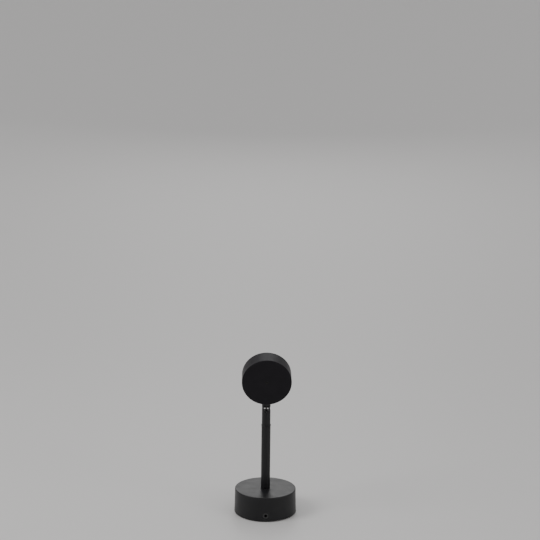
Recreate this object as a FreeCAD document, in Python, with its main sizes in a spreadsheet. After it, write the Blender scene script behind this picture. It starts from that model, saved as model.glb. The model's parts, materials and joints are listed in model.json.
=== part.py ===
import FreeCAD, Part
import math
import os
import re
import Sketcher
from FreeCAD import Placement, Rotation, Vector

# Sunset projection lamp: a round weighted base, a slim pole with a slotted knuckle on top, and a
# short round head that tilts in it and throws a coloured disc on the wall.
#
# Millimetres. The origin is the middle of the base where it stands on the table, +Z is up, and
# the lens looks along +Y, tilted up by head_tilt. X is the axis of the tilting knuckle.
#
# Three frames are used. "stand" is the lamp's own frame. "stem" has its origin on the tilting
# axis and leans back with the head, so its Z runs from the knuckle to the middle of the head.
# "head" has its origin in the middle of the head, with Z out through the lens and Y towards
# the knuckle.

doc = FreeCAD.newDocument("sunset_projection_lamp")

# --- driving sizes ----------------------------------------------------------------------------

DRIVING = {
    # base
    "base_height": 32,              # table to the top of the base
    "base_top_diameter": 80,
    "base_bottom_diameter": 81.3,   # the side is drawn in slightly towards the top
    "shell_wall": 2,
    "shell_top": 3,                 # thickness of the top
    "shell_edge_round": 1,
    "shell_rim_gap": 1,             # the shell's rim stays this far off the table
    "shell_rim_width": 1.1,         # rim left outside the bottom plate
    "boss_radius": 4,
    "boss_circle_radius": 30,       # bosses and base screws stand on this circle
    "boss_count": 3,
    "boss_overlap": 0.1,            # a boss runs this far up into the shell's top
    "foot_thickness": 1.5,
    "foot_margin": 2.5,             # the foot ends this far inside the bottom plate's edge
    "plate_thickness": 1.5,
    "plate_clearance": 0.15,
    "weight_thickness": 11,
    "weight_bore_radius": 11,
    "weight_gap_width": 11,         # the gap in the ring through which the cord comes in
    "weight_clearance": 0.6,
    "base_screw_radius": 1.5,
    "base_screw_head_radius": 2.9,
    "base_screw_head_depth": 1.3,
    "base_screw_length": 20,
    "screw_hole_clearance": 0.2,
    "thread_clearance": 0.02,       # radial, between a thread and the hole it is screwed into
    # cord bush in the rear wall
    "bush_height": 8,               # of its axis above the table
    "bush_radius": 4,
    "bush_bore_radius": 1.9,
    "bush_flange_radius": 5,
    "bush_flange_thickness": 1.4,
    "bush_setback": 0.5,            # its mouth stays this far inside the shell's side
    "bush_clearance": 0.05,
    "bush_flange_gap": 0.6,         # the flange is flat and the wall behind it is round
    # driver board on the weight
    "driver_length": 26,
    "driver_width": 13,
    "driver_thickness": 1.6,
    "driver_distance": 19,          # from the pole's axis back to the board's middle
    "driver_post_height": 2,
    "driver_post_radius": 2.4,
    "driver_screw_radius": 1,
    "driver_screw_head_radius": 1.9,
    "driver_screw_head_height": 1.2,
    "driver_screw_length": 5,
    "driver_screw_spacing": 20,
    "driver_chip_length": 5,
    "driver_chip_width": 4,
    "driver_chip_height": 1.5,
    "driver_chip_margin": 0.8,      # from the board's rear edge
    "driver_part_gap": 0.6,         # between the chip and a resistor
    "resistor_radius": 1.2,
    "resistor_length": 6,
    # pole and what clamps it
    "pole_diameter": 12,
    "pole_wall": 1,
    "pole_top_height": 116.5,       # table to the upper end of the tube
    "nipple_bore_radius": 3.5,
    "nipple_below_nut": 3,
    "nipple_engagement": 12,        # length screwed into the pole
    "nipple_hole_clearance": 0.2,
    "washer_thickness": 1,
    "washer_radius": 8.4,
    "nut_flats": 14,
    "nut_thickness": 3,
    "collar_radius": 6.3,
    "collar_thickness": 2,
    "collar_edge": 0.4,
    "pole_edge": 0.3,
    # knuckle
    "hinge_height": 140,            # table to the tilting axis
    "fork_radius": 5.65,
    "fork_bore_radius": 2.6,
    "fork_spigot_length": 12,       # goes down inside the pole
    "slot_width": 6.2,
    "slot_depth": 5.4,              # below the tilting axis
    "rear_slot_depth": 1.75,        # behind the spacers the slot is only this deep
    "rear_wall_distance": 2.9,      # from the pole's axis back to that wall
    "blade_slit_width": 1.7,        # in that wall
    "window_depth": 13,             # the front opening for the wires reaches down to here
    "window_width": 5.6,
    "blade_thickness": 1.2,
    "eye_radius": 4.5,
    "friction_washer_thickness": 0.3,
    "friction_washer_radius": 2.8,
    "spacer_radius": 2.5,
    "knuckle_play": 0.05,           # side play at each end of a spacer
    "pivot_radius": 1.5,
    "pivot_clearance": 0.04,        # radial, running fit
    "pivot_head_radius": 2.7,
    "pivot_head_thickness": 1.4,
    "pivot_end_sink": 0.6,
    "pivot_socket_flats": 2,
    "pivot_socket_depth": 1,
    # stem between knuckle and head
    "shoulder_play": 0.1,           # on each side of the thick part of the tongue, in the slot
    "shoulder_start": 2.9,          # its hollow end clears the spacers
    "shoulder_rear": 1.65,          # from the stem's axis
    "shoulder_front": 2.4,
    "neck_start": 6,                # from the tilting axis
    "neck_radius": 5.5,
    "neck_flat": 3.6,               # the neck's front is cut flat here, for the wires
    "flange_edge": 0.3,
    "flange_start": 9.2,
    "flange_radius": 7,
    "stub_radius": 2,
    "stub_beyond_nut": 0.5,
    "stem_seat_depth": 0.2,         # flat milled into the inside of the wall
    "stem_washer_thickness": 0.7,
    "stem_washer_radius": 3.7,
    "stem_nut_flats": 7,
    "stem_nut_thickness": 2.2,
    # wires
    "wire_radius": 0.85,
    "wire_pair_offset": 0.9,        # each wire from the middle of the twin lead
    "wire_spread": 1.75,            # each wire from the middle where they pass the blade
    "wire_forward": 4.9,            # from the stem's axis, where they enter the head
    "wire_clearance": 0.03,
    "wire_tail": 1,                 # the lead's two lengths meet this far below the window
    # way of the wires from the board up the pole
    "lead_start": 2.5,              # in from the board's front edge
    "lead_reach": 3.5,              # straight on past that edge
    "lead_lift": 0.1,
    "lead_swing": 3,                # behind the pole's axis
    "lead_drop": 2,                 # below the nipple
    "lead_entry": 4,                # straight from this far up inside the nipple
    # way of the wires past the blade
    "hinge_lead_start": 2.5,        # straight up to this far above the window's lower edge
    "hinge_lead_gap": 0.5,          # off the spacer
    "hinge_lead_bow": 0.6,          # further out, once above the tilting axis
    "hinge_lead_below": 4,
    "hinge_lead_above": 1,
    "hinge_lead_end": 0.3,          # before the neck
    # way of the wires in the head
    "nut_lead_gap": 2.4,            # off the stem's nut
    "barrel_lead_gap": 0.55,        # off the bezel's barrel
    "head_lead_side": 0.3,
    "head_lead_back": 1.6,
    "head_lead_inward": 2.2,
    "head_lead_lift": 0.7,
    "baffle_lead_gap": 2.5,
    "board_lead_bend": 4.2,         # across, where the wires turn towards their pads
    "board_lead_end": 3.4,          # across, on the pads
    "board_lead_inset": 3,          # pads, in from the board's rim
    "grommet_wall": 0.3,
    # head
    "head_tilt": 14,                # degrees up, as it stands
    "head_offset": 43.5,            # tilting axis to the middle of the head
    "head_diameter": 64,
    "head_depth": 23,
    "head_wall": 2,
    "head_edge_round": 0.8,
    "bezel_depth": 2.5,             # the part of the front ring that shows at the side
    "bezel_skirt": 2.6,             # screwed into the housing
    "bezel_thread_depth": 0.6,      # the housing is bored out this much for the skirt
    "bezel_rim_width": 1.6,
    "bezel_edge_round": 0.6,
    "seam_chamfer": 0.2,            # on both sides of the seam between ring and housing
    "dish_depth": 4.1,              # from the rim down to the lens opening
    "lip_thickness": 1.6,
    "lip_width": 2.3,
    "barrel_wall": 1.4,
    "barrel_length": 5.2,           # below the lip
    "lens_radius": 24.4,
    "lens_clearance": 0.2,
    "lens_edge_thickness": 2,
    "lens_flange_width": 2.4,
    "lens_curvature": 30,
    "gasket_thickness": 1.2,
    "gasket_width": 1.6,
    "filter_thickness": 0.7,
    "filter_radius": 22.6,
    "filter_clearance": 0.1,
    "ring_thickness": 1.8,
    "ring_opening_radius": 20.5,
    "ring_notch_width": 2.5,
    "ring_notch_depth": 0.6,
    # light source
    "sink_radius": 27,
    "sink_height": 4.5,             # rear wall to the face that carries the board
    "sink_plate": 1.8,
    "sink_boss_radius": 8,
    "fin_count": 24,
    "fin_thickness": 1.1,
    "fin_gap": 0.4,                 # fins end this far from the rear wall
    "fin_inner_radius": 10.5,
    "pad_thickness": 0.3,
    "board_radius": 11,
    "board_thickness": 1.6,
    "board_notch_radius": 1.5,
    "board_notch_count": 4,
    "board_screw_offset": 8,
    "board_screw_radius": 1,
    "board_screw_head_radius": 1.9,
    "board_screw_head_height": 1.3,
    "board_screw_depth": 2.8,       # below the board's face
    "emitter_side": 5,
    "emitter_base": 0.8,
    "emitter_dome_radius": 2,
    "baffle_foot_radius": 12.6,     # outside of the tube that stands round the board
    "baffle_wall": 1,
    "baffle_tube_height": 4.2,
    "baffle_ring_gap": 0.2,
    "baffle_notch_width": 13,
    "baffle_notch_height": 3.9,
    "rear_screw_radius": 1.25,
    "rear_screw_head_radius": 2.3,
    "rear_screw_head_depth": 1.1,
    "rear_screw_length": 6,
    "rear_socket_flats": 1.5,
    "rear_socket_depth": 0.8,
}

DERIVED = {
    # base
    "base_top_radius": "base_top_diameter / 2",
    "base_bottom_radius": "base_bottom_diameter / 2",
    "ceiling_height": "base_height - shell_top",
    "plate_top_height": "foot_thickness + plate_thickness",
    "side_slope": "(base_bottom_radius - base_top_radius) / (base_height - shell_rim_gap)",
    "inner_top_radius": "base_top_radius - shell_wall + side_slope * shell_top",
    "plate_bore_radius": "base_bottom_radius - shell_rim_width",
    "inner_bottom_radius":
        "base_bottom_radius - shell_wall - side_slope * (plate_top_height - shell_rim_gap)",
    "plate_radius": "plate_bore_radius - plate_clearance",
    "foot_radius": "plate_radius - foot_margin",
    "weight_top_height": "plate_top_height + weight_thickness",
    "weight_radius": "min(inner_top_radius; inner_bottom_radius) - weight_clearance",
    "boss_hole_top": "foot_thickness + base_screw_length + base_screw_radius",
    "boss_hole_radius": "base_screw_radius + thread_clearance",
    "screw_hole_radius": "base_screw_radius + screw_hole_clearance",
    "bush_wall_radius":             # the shell's side where it is narrowest beside the bush
        "base_bottom_radius - side_slope * (bush_height - shell_rim_gap)"
        " - abs(side_slope) * bush_flange_radius",
    "bush_face": "bush_wall_radius - bush_setback",
    "bush_hole_radius": "bush_radius + bush_clearance",
    "bush_inner_face": "bush_wall_radius - shell_wall - bush_flange_gap",
    "driver_underside": "weight_top_height + driver_post_height",
    "driver_top": "driver_underside + driver_thickness",
    "driver_chip_rear": "driver_chip_margin - driver_distance - driver_width / 2",
    # pole
    "pole_radius": "pole_diameter / 2",
    "pole_bore_radius": "pole_radius - pole_wall",
    "pole_thread_radius": "pole_bore_radius - thread_clearance",
    "nut_top_height": "ceiling_height - washer_thickness",
    "nut_underside": "nut_top_height - nut_thickness",
    "nipple_end": "nut_underside - nipple_below_nut",
    "nipple_top": "base_height + nipple_engagement",
    "nipple_hole_radius": "pole_thread_radius + nipple_hole_clearance",
    "collar_top_height": "pole_top_height + collar_thickness",
    # knuckle
    "fork_spigot_end": "pole_top_height - fork_spigot_length",
    "slot_bottom_height": "hinge_height - slot_depth",
    "window_bottom_height": "hinge_height - window_depth",
    "wires_meet_height": "window_bottom_height - wire_tail",
    "slot_half": "slot_width / 2",
    "blade_half": "blade_thickness / 2",
    "friction_face": "blade_half + friction_washer_thickness",
    "spacer_inner_face": "friction_face + knuckle_play",
    "spacer_outer_face": "slot_half - knuckle_play",
    "pivot_head_face": "sqrt(fork_radius ^ 2 - pivot_head_radius ^ 2)",
    "pivot_head_back": "pivot_head_face - pivot_head_thickness",
    "pivot_end": "fork_radius - pivot_end_sink",
    "pivot_running_radius": "pivot_radius + pivot_clearance",
    # head
    "head_radius": "head_diameter / 2",
    "head_inner_radius": "head_radius - head_wall",
    "head_back": "-head_depth / 2",
    "head_front": "head_depth / 2",
    "head_floor": "head_back + head_wall",
    "wall_distance": "head_offset - head_radius",
    "seat_distance": "wall_distance + head_wall - stem_seat_depth",
    "stem_nut_start": "seat_distance + stem_washer_thickness",
    "stem_nut_end": "stem_nut_start + stem_nut_thickness",
    "stub_end": "stem_nut_end + stub_beyond_nut",
    "wire_hole_radius": "wire_radius + wire_clearance",
    "grommet_radius": "wire_hole_radius + grommet_wall",
    "bezel_seam": "head_front - bezel_depth",
    "skirt_end": "bezel_seam - bezel_skirt",
    "thread_bore_radius": "head_inner_radius + bezel_thread_depth",
    "skirt_radius": "thread_bore_radius - thread_clearance",
    "dish_floor": "head_front - dish_depth",
    "lip_back": "dish_floor - lip_thickness",
    "barrel_bore_radius": "lens_radius + lens_clearance",
    "barrel_radius": "barrel_bore_radius + barrel_wall",
    "barrel_end": "lip_back - barrel_length",
    "lens_opening_radius": "barrel_bore_radius - lip_width",
    "lens_shoulder": "lip_back - gasket_thickness",
    "lens_back": "lens_shoulder - lens_edge_thickness",
    "dome_radius": "lens_radius - lens_flange_width",
    "lens_centre": "lens_shoulder - sqrt(lens_curvature ^ 2 - dome_radius ^ 2)",
    "lens_apex": "lens_centre + lens_curvature",
    "filter_back": "lens_back - filter_thickness",
    "ring_back": "lens_back - ring_thickness",
    "ring_radius": "barrel_bore_radius - thread_clearance",
    # light source
    "sink_face": "head_floor + sink_height",
    "board_back": "sink_face + pad_thickness",
    "board_face": "board_back + board_thickness",
    "baffle_top": "ring_back - baffle_ring_gap",
}


def bound(words):
    """Write a size or a sum of sizes as an expression on the sheet."""
    return re.sub(r"[a-z]+(?:_[a-z]+)+", lambda name: "sizes." + name.group(), words)


def fill_sheet():
    sheet = doc.addObject("Spreadsheet::Sheet", "sizes")
    for row, (name, value) in enumerate(DRIVING.items(), start=1):
        sheet.set("A%d" % row, name.replace("_", " "))
        sheet.set("B%d" % row, str(value))
        sheet.setAlias("B%d" % row, name)
    for row, (name, formula) in enumerate(DERIVED.items(), start=len(DRIVING) + 2):
        sheet.set("A%d" % row, name.replace("_", " "))
        sheet.set("B%d" % row, "=" + formula)
        sheet.setAlias("B%d" % row, name)
    doc.recompute()
    return sheet


sizes = fill_sheet()
workings = doc.addObject("Spreadsheet::Sheet", "workings")


def value(words):
    """The number that a size or a sum of sizes comes to, worked out in a spare cell."""
    workings.set("A1", "=" + bound(words))
    workings.recompute()
    return float(workings.get("A1"))


# --- the three frames ---------------------------------------------------------------------------

FRAMES = {
    "stand": {},
    "stem": {"Base.z": "hinge_height", "Rotation.Angle": "head_tilt"},
    "head": {
        "Base.y": "-head_offset * sin(head_tilt)",
        "Base.z": "hinge_height + head_offset * cos(head_tilt)",
        "Rotation.Angle": "head_tilt - 90",
    },
}


def stand_in_frame(piece, frame):
    """Place a piece in its frame: each frame is the lamp's own, turned about X and moved."""
    piece.Placement = Placement(Vector(0, 0, 0), Rotation(Vector(1, 0, 0), 10))
    if frame == "stand":
        piece.Placement = Placement()
    for part, words in FRAMES[frame].items():
        piece.setExpression("Placement." + part, bound(words))


# --- sketches and features -----------------------------------------------------------------------

pieces = []


def new_body(name, frame):
    body = doc.addObject("PartDesign::Body", name)
    body.Label = name
    stand_in_frame(body, frame)
    pieces.append(body)
    return body


def new_sketch(body, plane_role, shift=None):
    """A sketch on one of the body's own origin planes, moved by sizes of the sheet."""
    plane = next(item for item in body.Origin.OriginFeatures if item.Role == plane_role)
    sketch = body.newObject("Sketcher::SketchObject", body.Label + "_sketch")
    sketch.AttachmentSupport = [(plane, "")]
    sketch.MapMode = "FlatFace"
    for axis, words in (shift or {}).items():
        sketch.setExpression("AttachmentOffset.Base." + axis, bound(words))
    return sketch


def hold(sketch, axis, geometry, end, words):
    """Hold one point of a sketch at a size of the sheet along one axis, "X" or "Y"."""
    held = sketch.addConstraint(
        Sketcher.Constraint("Distance" + axis, -1, 1, geometry, end, value(words)))
    sketch.setExpression("Constraints[%d]" % held, bound(words))


def arc_side(start, end, centre):
    """The arc that runs counter-clockwise from start to end about centre."""
    ring = Part.Circle(centre, Vector(0, 0, 1), (start - centre).Length)
    first, last = (
        math.atan2(point.y - centre.y, point.x - centre.x) for point in (start, end)
    )
    return Part.ArcOfCircle(ring, first, last if last > first else last + 2 * math.pi)


def outline(sketch, corners):
    """A closed outline through corners (across, up), counter-clockwise.

    A third item makes the side to the next corner an arc: which way it bulges, "out" or "in",
    and its centre.
    """
    points = [Vector(value(corner[0]), value(corner[1]), 0) for corner in corners]
    sides = []
    for i, corner in enumerate(corners):
        here, there = points[i], points[(i + 1) % len(points)]
        if len(corner) == 2:
            side = Part.LineSegment(here, there)
        else:
            way, across, up = corner[2]
            ends = (here, there) if way == "out" else (there, here)
            side = arc_side(ends[0], ends[1], Vector(value(across), value(up), 0))
        sides.append(sketch.addGeometry(side, False))
    inward = [len(corner) == 3 and corner[2][0] == "in" for corner in corners]
    for i, corner in enumerate(corners):
        following = (i + 1) % len(corners)
        first, last = (2, 1) if inward[i] else (1, 2)
        next_first = 2 if inward[following] else 1
        sketch.addConstraint(
            Sketcher.Constraint("Coincident", sides[i], last, sides[following], next_first))
        hold(sketch, "X", sides[i], first, corner[0])
        hold(sketch, "Y", sides[i], first, corner[1])
        if len(corner) == 3:
            chord = points[following] - points[i]
            if abs(chord.x) < abs(chord.y):
                hold(sketch, "X", sides[i], 3, corner[2][1])
            else:
                hold(sketch, "Y", sides[i], 3, corner[2][2])
    return sketch


def circle(sketch, across, up, radius):
    centre = Vector(value(across), value(up), 0)
    ring = sketch.addGeometry(Part.Circle(centre, Vector(0, 0, 1), value(radius)), False)
    hold(sketch, "X", ring, 3, across)
    hold(sketch, "Y", ring, 3, up)
    held = sketch.addConstraint(Sketcher.Constraint("Radius", ring, value(radius)))
    sketch.setExpression("Constraints[%d]" % held, bound(radius))
    return sketch


def rectangle(sketch, left, bottom, right, top):
    return outline(sketch, [(left, bottom), (right, bottom), (right, top), (left, top)])


def spin(body, sketch, axis="V_Axis", kind="Revolution"):
    feature = body.newObject("PartDesign::" + kind, body.Label + "_" + kind.lower())
    feature.Profile = sketch
    feature.ReferenceAxis = (sketch, [axis])
    feature.Angle = 360
    body.Tip = feature
    return feature


def raise_sketch(body, sketch, length, kind="Pad", middle=False, backwards=False):
    """Pad or pocket a sketch by a length of the sheet."""
    feature = body.newObject("PartDesign::" + kind, body.Label + "_" + kind.lower())
    feature.Profile = sketch
    feature.setExpression("Length", bound(length))
    feature.Midplane = middle
    feature.Reversed = backwards
    body.Tip = feature
    return feature


def cut_checked(body, feature):
    """A cut that points away from the solid removes nothing, so its volume is compared."""
    doc.recompute()
    before = feature.BaseFeature.Shape.Volume
    if not feature.Shape.Volume < before - 1e-6:
        raise RuntimeError(feature.Label + " cuts nothing from " + body.Label)
    return feature


def cut_sketch(body, sketch, length, middle=False, backwards=False):
    return cut_checked(body, raise_sketch(body, sketch, length, "Pocket", middle, backwards))


def cut_round(body, sketch, axis="V_Axis"):
    return cut_checked(body, spin(body, sketch, axis, "Groove"))


def repeat_round(body, features, count, angle="360"):
    """Repeat features about the body's Z axis."""
    feature = body.newObject("PartDesign::PolarPattern", body.Label + "_pattern")
    feature.Originals = features
    axis = next(item for item in body.Origin.OriginFeatures if item.Role == "Z_Axis")
    feature.Axis = (axis, [""])
    feature.Angle = float(angle)
    feature.setExpression("Occurrences", bound(count))
    body.Tip = feature
    doc.recompute()
    return feature


def mirror_features(body, features, plane_role="YZ_Plane"):
    feature = body.newObject("PartDesign::Mirrored", body.Label + "_mirrored")
    feature.Originals = features
    plane = next(item for item in body.Origin.OriginFeatures if item.Role == plane_role)
    feature.MirrorPlane = (plane, [""])
    body.Tip = feature
    doc.recompute()
    return feature


def round_edges(body, chosen, radius):
    """Fillet the edges of the finished shape that chosen(edge) picks."""
    doc.recompute()
    base = body.Tip
    names = ["Edge%d" % (i + 1) for i, edge in enumerate(base.Shape.Edges) if chosen(edge)]
    feature = body.newObject("PartDesign::Fillet", body.Label + "_fillet")
    feature.Base = (base, names)
    feature.setExpression("Radius", bound(radius))
    body.Tip = feature
    doc.recompute()
    return feature


def circle_at(radius, height):
    """Pick full circles about Z of a given radius and height."""
    def chosen(edge):
        curve = edge.Curve
        if not isinstance(curve, Part.Circle) or not edge.isClosed():
            return False
        return abs(curve.Radius - radius) < 1e-4 and abs(curve.Center.z - height) < 1e-4
    return chosen


def turned(name, frame, corners, axis="V_Axis", plane_role="XZ_Plane", shift=None):
    """A piece turned from one outline about an axis of its sketch."""
    body = new_body(name, frame)
    spin(body, outline(new_sketch(body, plane_role, shift), corners), axis)
    return body


def ring_corners(inner, outer, bottom, top):
    return [(inner, bottom), (outer, bottom), (outer, top), (inner, top)]


def ring(name, frame, inner, outer, bottom, top):
    return turned(name, frame, ring_corners(inner, outer, bottom, top))


def hexagon_nut(name, frame, flats, bore, bottom, thickness):
    """A hexagon prism with a round hole, a flat side towards +Y and -Y."""
    prism = doc.addObject("Part::Prism", name + "_blank")
    prism.Polygon = 6
    prism.setExpression("Circumradius", bound("%s / sqrt(3)" % flats))
    prism.setExpression("Height", bound(thickness))
    prism.setExpression("Placement.Base.z", bound(bottom))
    hole = doc.addObject("Part::Cylinder", name + "_hole")
    hole.setExpression("Radius", bound(bore))
    hole.setExpression("Height", bound("3 * (%s)" % thickness))
    hole.setExpression("Placement.Base.z", bound("%s - %s" % (bottom, thickness)))
    nut = doc.addObject("Part::Cut", name)
    nut.Label = name
    nut.Base = prism
    nut.Tool = hole
    stand_in_frame(nut, frame)
    pieces.append(nut)
    return nut


def hexagon(sketch, flats):
    """A hexagon about the sketch's origin, for a socket."""
    half = "%s / 2" % flats
    tip = "%s / sqrt(3)" % flats
    side = "%s / sqrt(12)" % flats
    return outline(sketch, [
        (tip, "0"), (side, half), ("-" + side, half),
        ("-" + tip, "0"), ("-" + side, "-" + half), (side, "-" + half),
    ])


# --- base ------------------------------------------------------------------------------------------

def base_shell():
    body = turned("base_shell", "stand", [
        ("nipple_hole_radius", "ceiling_height"),
        ("inner_top_radius", "ceiling_height"),
        ("inner_bottom_radius", "plate_top_height"),
        ("plate_bore_radius", "plate_top_height"),
        ("plate_bore_radius", "shell_rim_gap"),
        ("base_bottom_radius", "shell_rim_gap"),
        ("base_top_radius", "base_height"),
        ("nipple_hole_radius", "base_height"),
    ])
    round_edges(body, circle_at(value("base_top_radius"), value("base_height")), "shell_edge_round")
    boss = circle(new_sketch(body, "XY_Plane", {"z": "weight_top_height"}),
                  "0", "boss_circle_radius", "boss_radius")
    bosses = [raise_sketch(body, boss, "ceiling_height - weight_top_height + boss_overlap")]
    repeat_round(body, bosses, "boss_count")
    hole = circle(new_sketch(body, "XY_Plane", {"z": "weight_top_height"}),
                  "0", "boss_circle_radius", "boss_hole_radius")
    drilled = cut_sketch(body, hole, "boss_hole_top - weight_top_height", backwards=True)
    repeat_round(body, [drilled], "boss_count")
    cord_hole = circle(new_sketch(body, "XZ_Plane"), "0", "bush_height", "bush_hole_radius")
    cut_sketch(body, cord_hole, "base_bottom_radius + base_top_radius", backwards=True)


def base_weight():
    body = ring("base_weight", "stand", "weight_bore_radius", "weight_radius",
                "plate_top_height", "weight_top_height")
    post = circle(new_sketch(body, "XY_Plane", {"z": "weight_top_height"}),
                  "driver_screw_spacing / 2", "-driver_distance", "driver_post_radius")
    posts = [raise_sketch(body, post, "driver_post_height")]
    tapped = circle(new_sketch(body, "XY_Plane", {"z": "driver_underside"}),
                    "driver_screw_spacing / 2", "-driver_distance",
                    "driver_screw_radius + thread_clearance")
    posts.append(cut_sketch(body, tapped, "driver_screw_length"))
    mirror_features(body, posts)
    hole = circle(new_sketch(body, "XY_Plane", {"z": "plate_top_height"}),
                  "0", "boss_circle_radius", "screw_hole_radius")
    drilled = cut_sketch(body, hole, "weight_thickness", backwards=True)
    repeat_round(body, [drilled], "boss_count")
    gap = rectangle(new_sketch(body, "XY_Plane", {"z": "plate_top_height"}),
                    "-weight_gap_width / 2", "-2 * weight_radius", "weight_gap_width / 2", "0")
    cut_sketch(body, gap, "weight_thickness", backwards=True)


def bottom_plate():
    body = turned("bottom_plate", "stand", [
        ("0", "foot_thickness"),
        ("plate_radius", "foot_thickness"),
        ("plate_radius", "plate_top_height"),
        ("0", "plate_top_height"),
    ])
    seat = outline(new_sketch(body, "YZ_Plane", {"x": "boss_circle_radius"}), [
        ("0", "foot_thickness"),
        ("base_screw_head_radius + screw_hole_clearance", "foot_thickness"),
        ("screw_hole_radius", "foot_thickness + base_screw_head_depth"),
        ("screw_hole_radius", "plate_top_height"),
        ("0", "plate_top_height"),
    ])
    repeat_round(body, [cut_round(body, seat)], "boss_count")


def base_screws():
    body = new_body("base_screws", "stand")
    screw = outline(new_sketch(body, "YZ_Plane", {"x": "boss_circle_radius"}), [
        ("0", "foot_thickness"),
        ("base_screw_head_radius", "foot_thickness"),
        ("base_screw_radius", "foot_thickness + base_screw_head_depth"),
        ("base_screw_radius", "foot_thickness + base_screw_length"),
        ("0", "foot_thickness + base_screw_length"),
    ])
    repeat_round(body, [spin(body, screw)], "boss_count")


def foot_pad():
    turned("foot_pad", "stand", [
        ("0", "0"), ("foot_radius", "0"), ("foot_radius", "foot_thickness"), ("0", "foot_thickness"),
    ])


def cable_bush():
    """A bush along Y, pushed through the rear wall from inside."""
    turned("cable_bush", "stand", [
        ("-bush_face", "bush_bore_radius"),
        ("-bush_inner_face + bush_flange_thickness", "bush_bore_radius"),
        ("-bush_inner_face + bush_flange_thickness", "bush_flange_radius"),
        ("-bush_inner_face", "bush_flange_radius"),
        ("-bush_inner_face", "bush_radius"),
        ("-bush_face", "bush_radius"),
    ], axis="H_Axis", plane_role="YZ_Plane", shift={"y": "bush_height"})


def driver_board():
    body = new_body("driver_board", "stand")
    board = rectangle(new_sketch(body, "XY_Plane", {"z": "driver_underside"}),
                      "-driver_length / 2", "-driver_distance - driver_width / 2",
                      "driver_length / 2", "-driver_distance + driver_width / 2")
    raise_sketch(body, board, "driver_thickness")
    hole = circle(new_sketch(body, "XY_Plane", {"z": "driver_underside"}),
                  "driver_screw_spacing / 2", "-driver_distance",
                  "driver_screw_radius + screw_hole_clearance")
    mirror_features(body, [cut_sketch(body, hole, "driver_thickness", backwards=True)])


def driver_screws():
    body = new_body("driver_screws", "stand")
    screw = outline(new_sketch(body, "XZ_Plane", {"x": "driver_screw_spacing / 2", "z": "driver_distance"}), [
        ("0", "driver_top + driver_screw_head_height - driver_screw_length"),
        ("driver_screw_radius", "driver_top + driver_screw_head_height - driver_screw_length"),
        ("driver_screw_radius", "driver_top"),
        ("driver_screw_head_radius", "driver_top"),
        ("driver_screw_head_radius", "driver_top + driver_screw_head_height"),
        ("0", "driver_top + driver_screw_head_height"),
    ])
    mirror_features(body, [spin(body, screw)])


def driver_chip():
    body = new_body("driver_chip", "stand")
    chip = rectangle(new_sketch(body, "XY_Plane", {"z": "driver_top"}),
                     "-driver_chip_length / 2", "driver_chip_rear",
                     "driver_chip_length / 2", "driver_chip_rear + driver_chip_width")
    raise_sketch(body, chip, "driver_chip_height")


def current_resistors():
    body = new_body("current_resistors", "stand")
    half = "resistor_length / 2"
    profile = outline(
        new_sketch(body, "YZ_Plane", {"x": "-driver_distance", "y": "driver_top + resistor_radius",
                                      "z": "driver_chip_length / 2 + driver_part_gap + resistor_radius"}),
        [("-" + half, "0"), (half, "0"), (half, "resistor_radius"), ("-" + half, "resistor_radius")])
    mirror_features(body, [spin(body, profile, "H_Axis")])


# --- pole --------------------------------------------------------------------------------------------

def threaded_nipple():
    ring("threaded_nipple", "stand", "nipple_bore_radius", "pole_thread_radius",
         "nipple_end", "nipple_top")


def lock_washer():
    ring("lock_washer", "stand", "nipple_hole_radius", "washer_radius",
         "nut_top_height", "ceiling_height")


def pole_nut():
    hexagon_nut("pole_nut", "stand", "nut_flats", "pole_thread_radius + thread_clearance",
                "nut_underside", "nut_thickness")


def pole_tube():
    turned("pole_tube", "stand", [
        ("pole_bore_radius", "base_height"),
        ("pole_radius - pole_edge", "base_height"),
        ("pole_radius", "base_height + pole_edge"),
        ("pole_radius", "pole_top_height - pole_edge"),
        ("pole_radius - pole_edge", "pole_top_height"),
        ("pole_bore_radius", "pole_top_height"),
    ])


def collar_ring():
    turned("collar_ring", "stand", [
        ("pole_bore_radius", "pole_top_height"),
        ("collar_radius - collar_edge", "pole_top_height"),
        ("collar_radius", "pole_top_height + collar_edge"),
        ("collar_radius", "collar_top_height - collar_edge"),
        ("collar_radius - collar_edge", "collar_top_height"),
        ("pole_bore_radius", "collar_top_height"),
    ])


# --- knuckle ---------------------------------------------------------------------------------------

def turned_about_pivot(name, corners):
    """A piece of the stand turned about the tilting axis."""
    return turned(name, "stand", corners, axis="H_Axis", shift={"y": "hinge_height"})


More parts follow.
